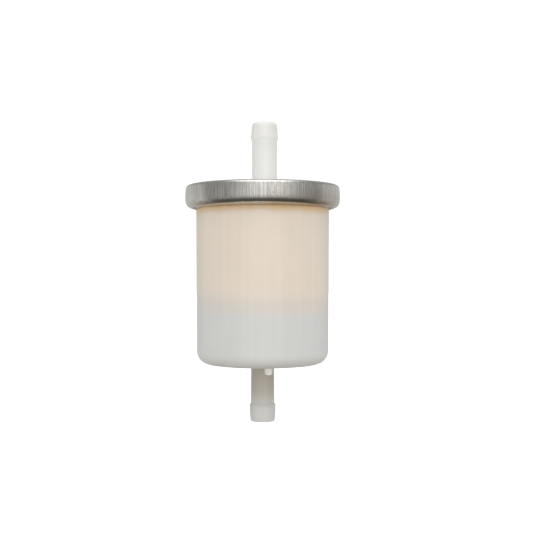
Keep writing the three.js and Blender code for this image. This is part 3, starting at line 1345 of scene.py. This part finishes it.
    def dress(self) -> list[bpy.types.Object]:
        """Builds, finishes and places the element's pieces.

        Returns:
            The pieces, from the top down.
        """
        return [
            show(self.build_plate(), FibreBoard(), Slot.BOARD, "element_plate"),
            show(self.build_seal(), Rubber(), Slot.RUBBER, "outlet_seal"),
            show(self.build_top_potting(), Adhesive(), Slot.ADHESIVE, "top_potting"),
            show(self.build_paper(), FilterPaper(), Slot.PAPER, "filter_paper"),
            show(self.build_strip(), SeamTape(), Slot.TAPE, "seam_strip"),
            show(self.build_cage(), WhiteNylon(), Slot.WHITE_NYLON, "core_tube"),
            show(self.build_dish_potting(), Adhesive(), Slot.ADHESIVE, "bottom_potting"),
            show(self.build_dish(), FibreBoard(), Slot.BOARD, "end_cap"),
        ]


@dataclass(frozen=True)
class Fill:
    """A large soft lamp that doesn't show in reflections.

    It stands at a turn in degrees from straight in front towards +X and at a rise in degrees above the
    filter. Its power is in watts.
    """

    name: str
    turn: float
    rise: float
    power: float
    tint: Colour
    distance: float = 0.8
    size: float = 0.7

    def hang(self) -> None:
        """Adds the lamp, turned to the filter."""
        data = bpy.data.lights.new(self.name, "AREA")
        data.shape = "DISK"
        data.size = self.size
        data.energy = self.power
        data.color = self.tint
        lamp = bpy.data.objects.new(self.name, data)
        turn, rise = math.radians(self.turn), math.radians(self.rise)
        reach = math.cos(rise)
        towards = Vector((math.sin(turn) * reach, -math.cos(turn) * reach, math.sin(rise)))
        lamp.location = towards * self.distance
        lamp.rotation_mode = "QUATERNION"
        lamp.rotation_quaternion = towards.to_track_quat("Z", "Y")
        lamp.visible_glossy = False
        lamp.visible_camera = False
        bpy.context.scene.collection.objects.link(lamp)


@dataclass
class Studio:
    """Camera, pale floor and soft light. Lengths are in metres."""

    distance: float = 0.325
    lens: float = 63.83
    eye_height: float = -0.45 * MM
    aim: tuple[float, float] = (1.34 * MM, 1.78 * MM)
    floor_height: float = -0.32
    floor_size: float = 30.0
    fills: tuple[Fill, ...] = (
        Fill("left_fill", -60, 12, 2.1, (1.0, 0.99, 0.97)),
        Fill("right_fill", 55, 12, 1.85, (1.0, 0.99, 0.97)),
        Fill("low_fill", 0, -60, 2.8, (1.0, 0.91, 0.82)),
        Fill("back_fill", 180, 15, 1.6, (1.0, 1.0, 1.0)),
    )

    def camera(self) -> None:
        """Sets the camera up in front of the filter."""
        data = bpy.data.cameras.new("studio_camera")
        data.lens = self.lens
        data.clip_start, data.clip_end = 0.01, 100
        camera = bpy.data.objects.new("studio_camera", data)
        camera.location = (0, -self.distance, self.eye_height)
        target = Vector((self.aim[0], 0, self.aim[1]))
        camera.rotation_mode = "QUATERNION"
        camera.rotation_quaternion = (target - camera.location).to_track_quat("-Z", "Y")
        bpy.context.scene.collection.objects.link(camera)
        bpy.context.scene.camera = camera

    def floor(self) -> None:
        """Lays the pale floor, which doesn't throw its light back up."""
        Bench.clear()
        bpy.ops.mesh.primitive_plane_add(size=self.floor_size, location=(0, 0, self.floor_height))
        floor = Bench.started("studio_floor")
        material, graph = new_material("studio_floor")
        grain = graph.noise(graph.place(), 0.4, 2)
        graph.surface(
            Base_Color=graph.blend(grain, (0.9, 0.9, 0.9), (0.93, 0.93, 0.93)),
            Roughness=0.9,
            Emission_Color=(1.0, 1.0, 1.0),
            Emission_Strength=0.6,
        )
        floor.data.materials.append(material)
        floor.visible_diffuse = False
        floor.visible_glossy = False
        floor.visible_transmission = False
        floor.visible_shadow = False

    def surround(self) -> None:
        """Surrounds the filter with soft light, which only the camera sees as plain white.

        It is brightest in front, with a softbox high up there and a paler backdrop, and dim at the sides
        and below.
        """
        world = bpy.data.worlds.new("studio_light")
        world.use_nodes = True
        bpy.context.scene.world = world
        graph = Graph(world.node_tree)
        x, y, z = graph.axes(graph.node("ShaderNodeTexCoord").outputs["Generated"])
        base = z.fade(-0.85, -0.1, 0.07, 0.335)
        key = (abs(x - 0.1) + z.fade(0.0, 1.0) * 0.45).fade(1.0, 0.2)
        key = key * y.fade(0.15, -0.15) * z.fade(-0.6, 0.14, 0.04, 1.0)
        softbox = abs(x - 0.03).fade(0.6, 0.46) * y.fade(0.2, -0.05) * z.fade(0.46, 0.6)
        backdrop = y.fade(0.06, 0.14) * z.fade(-0.95, -0.35) * z.fade(0.5, 0.05, 0.2, 1.0)
        strength = base + key * 0.6 + backdrop * 0.27 + softbox * 1.12
        tint = graph.blend(z.fade(-0.1, -0.8), (1.0, 1.0, 1.0), (1.0, 0.9, 0.78))
        light = graph.node("ShaderNodeBackground", inputs={"Color": tint, "Strength": strength})
        white = graph.node("ShaderNodeBackground", inputs={"Color": (1.0, 1.0, 1.0), "Strength": 1.05})
        seen = graph.node("ShaderNodeLightPath").outputs["Is Camera Ray"]
        both = graph.node("ShaderNodeMixShader", inputs={0: seen, 1: light.outputs[0], 2: white.outputs[0]})
        graph.node("ShaderNodeOutputWorld", inputs={"Surface": both.outputs[0]})

    def build(self) -> None:
        """Sets up the studio."""
        self.camera()
        self.floor()
        self.surround()
        for fill in self.fills:
            fill.hang()
        bpy.context.scene.view_settings.view_transform = "Standard"


def main() -> None:
    """Builds the filter and the studio round it."""
    logging.basicConfig(level=logging.INFO, format="%(name)s: %(message)s")
    Cup().dress()
    Lid().dress()
    CrimpRing().dress()
    RimSeal().dress()
    Element().dress()
    Studio().build()


if __name__ == "__main__":
    main()
